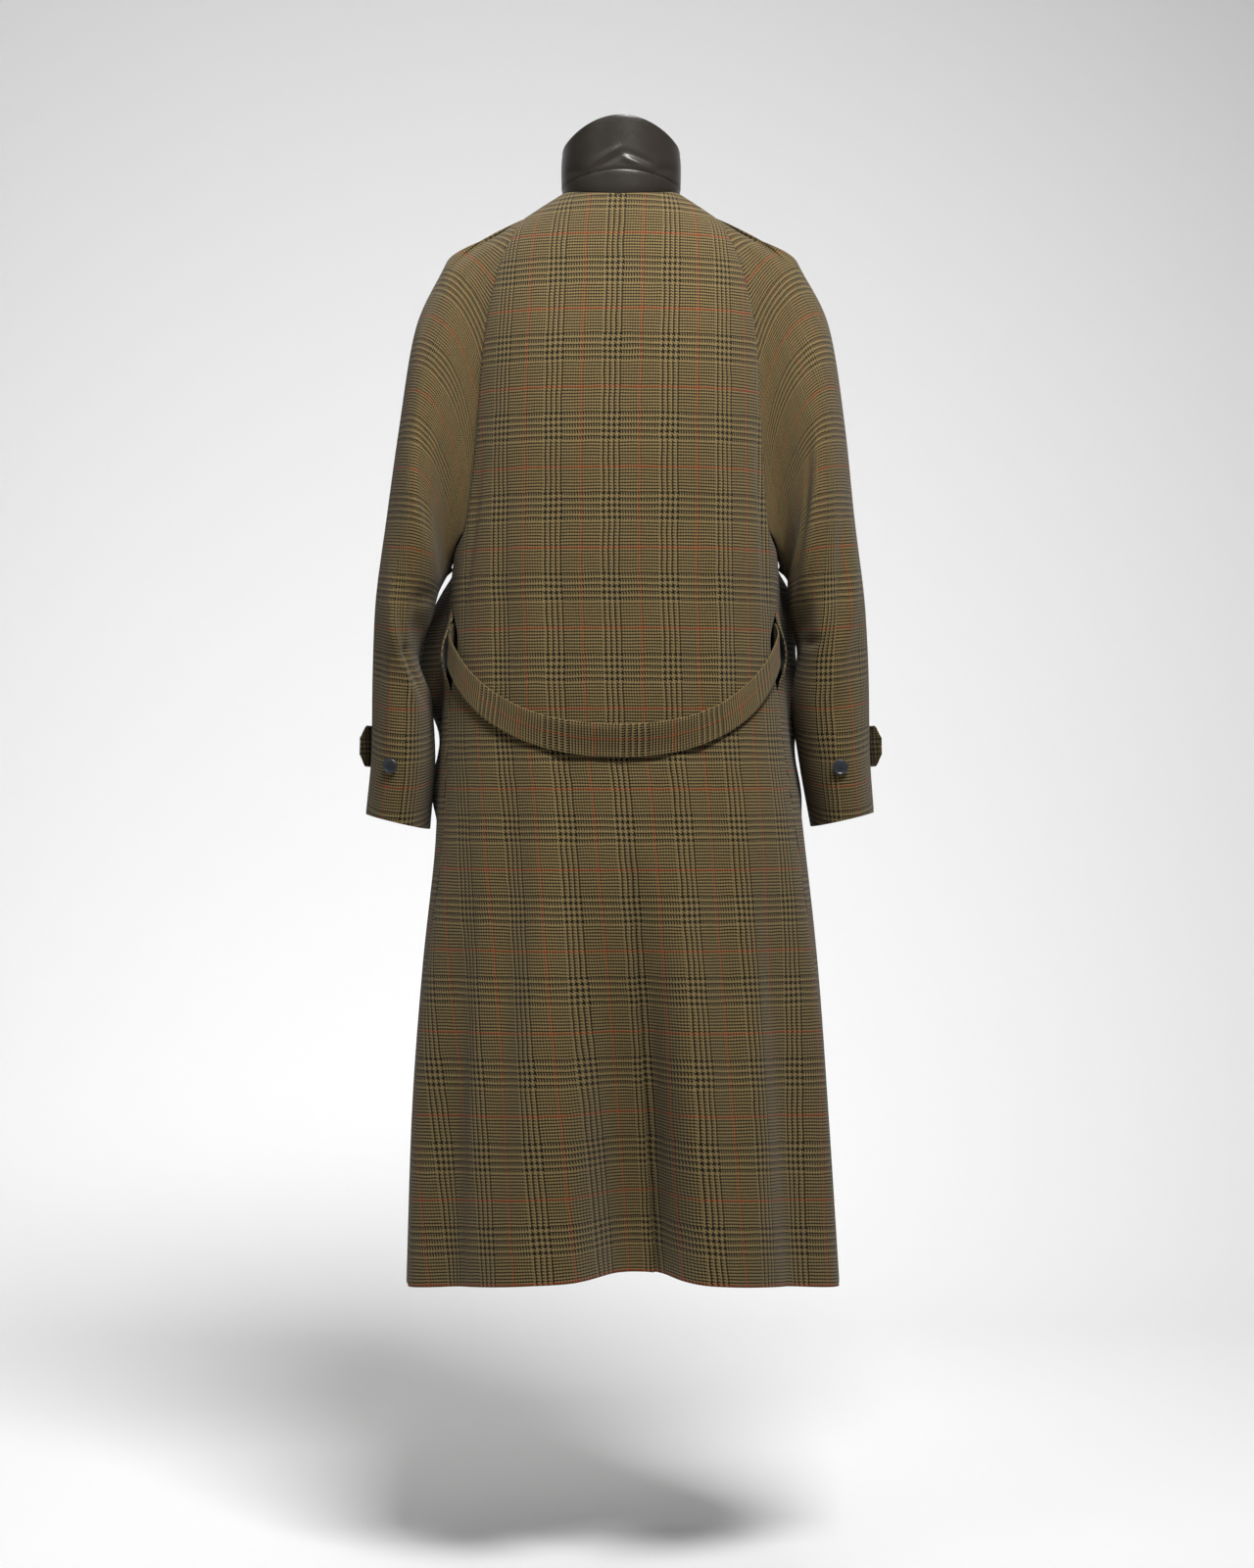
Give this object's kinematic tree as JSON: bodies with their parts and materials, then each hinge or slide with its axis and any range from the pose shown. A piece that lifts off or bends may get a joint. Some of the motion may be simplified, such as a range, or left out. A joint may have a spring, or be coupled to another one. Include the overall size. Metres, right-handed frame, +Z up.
{
  "type": "balmacaan coat",
  "caption": "Long raglan-sleeved tweed overcoat in its worn shape, with a turned-up leather collar, a slack back belt through side slits, cuff tabs and a centre back vent.",
  "frame": {"origin": "at the neck, level with the neck seam at the centre back, midway across the neck opening", "axes": "+Z up, +Y out of the wearer's back, +X to the wearer's left"},
  "size_m": [0.6107, 0.3891, 1.3264],
  "materials": {
    "tweed": "matte wool tweed in a glen check with a rust overcheck",
    "leather": "smooth dark brown leather, satin",
    "horn": "dark blue grey horn, polished rim"
  },
  "bodies": {
    "root": {"back_left": "tweed", "back_right": "tweed", "front_left": "tweed", "front_right": "tweed", "sleeve_back_left": "tweed", "sleeve_front_left": "tweed", "sleeve_back_right": "tweed", "sleeve_front_right": "tweed", "cuff_tab_left": "tweed", "cuff_tab_right": "tweed", "belt": "tweed", "collar_stand": "leather", "collar_fall": "leather", "cuff_button_left": "horn", "cuff_button_right": "horn", "tab_button_left": "horn", "tab_button_right": "horn", "front_button_1": "horn", "front_button_2": "horn", "front_button_3": "horn", "front_button_4": "horn"}
  },
  "joints": []
}
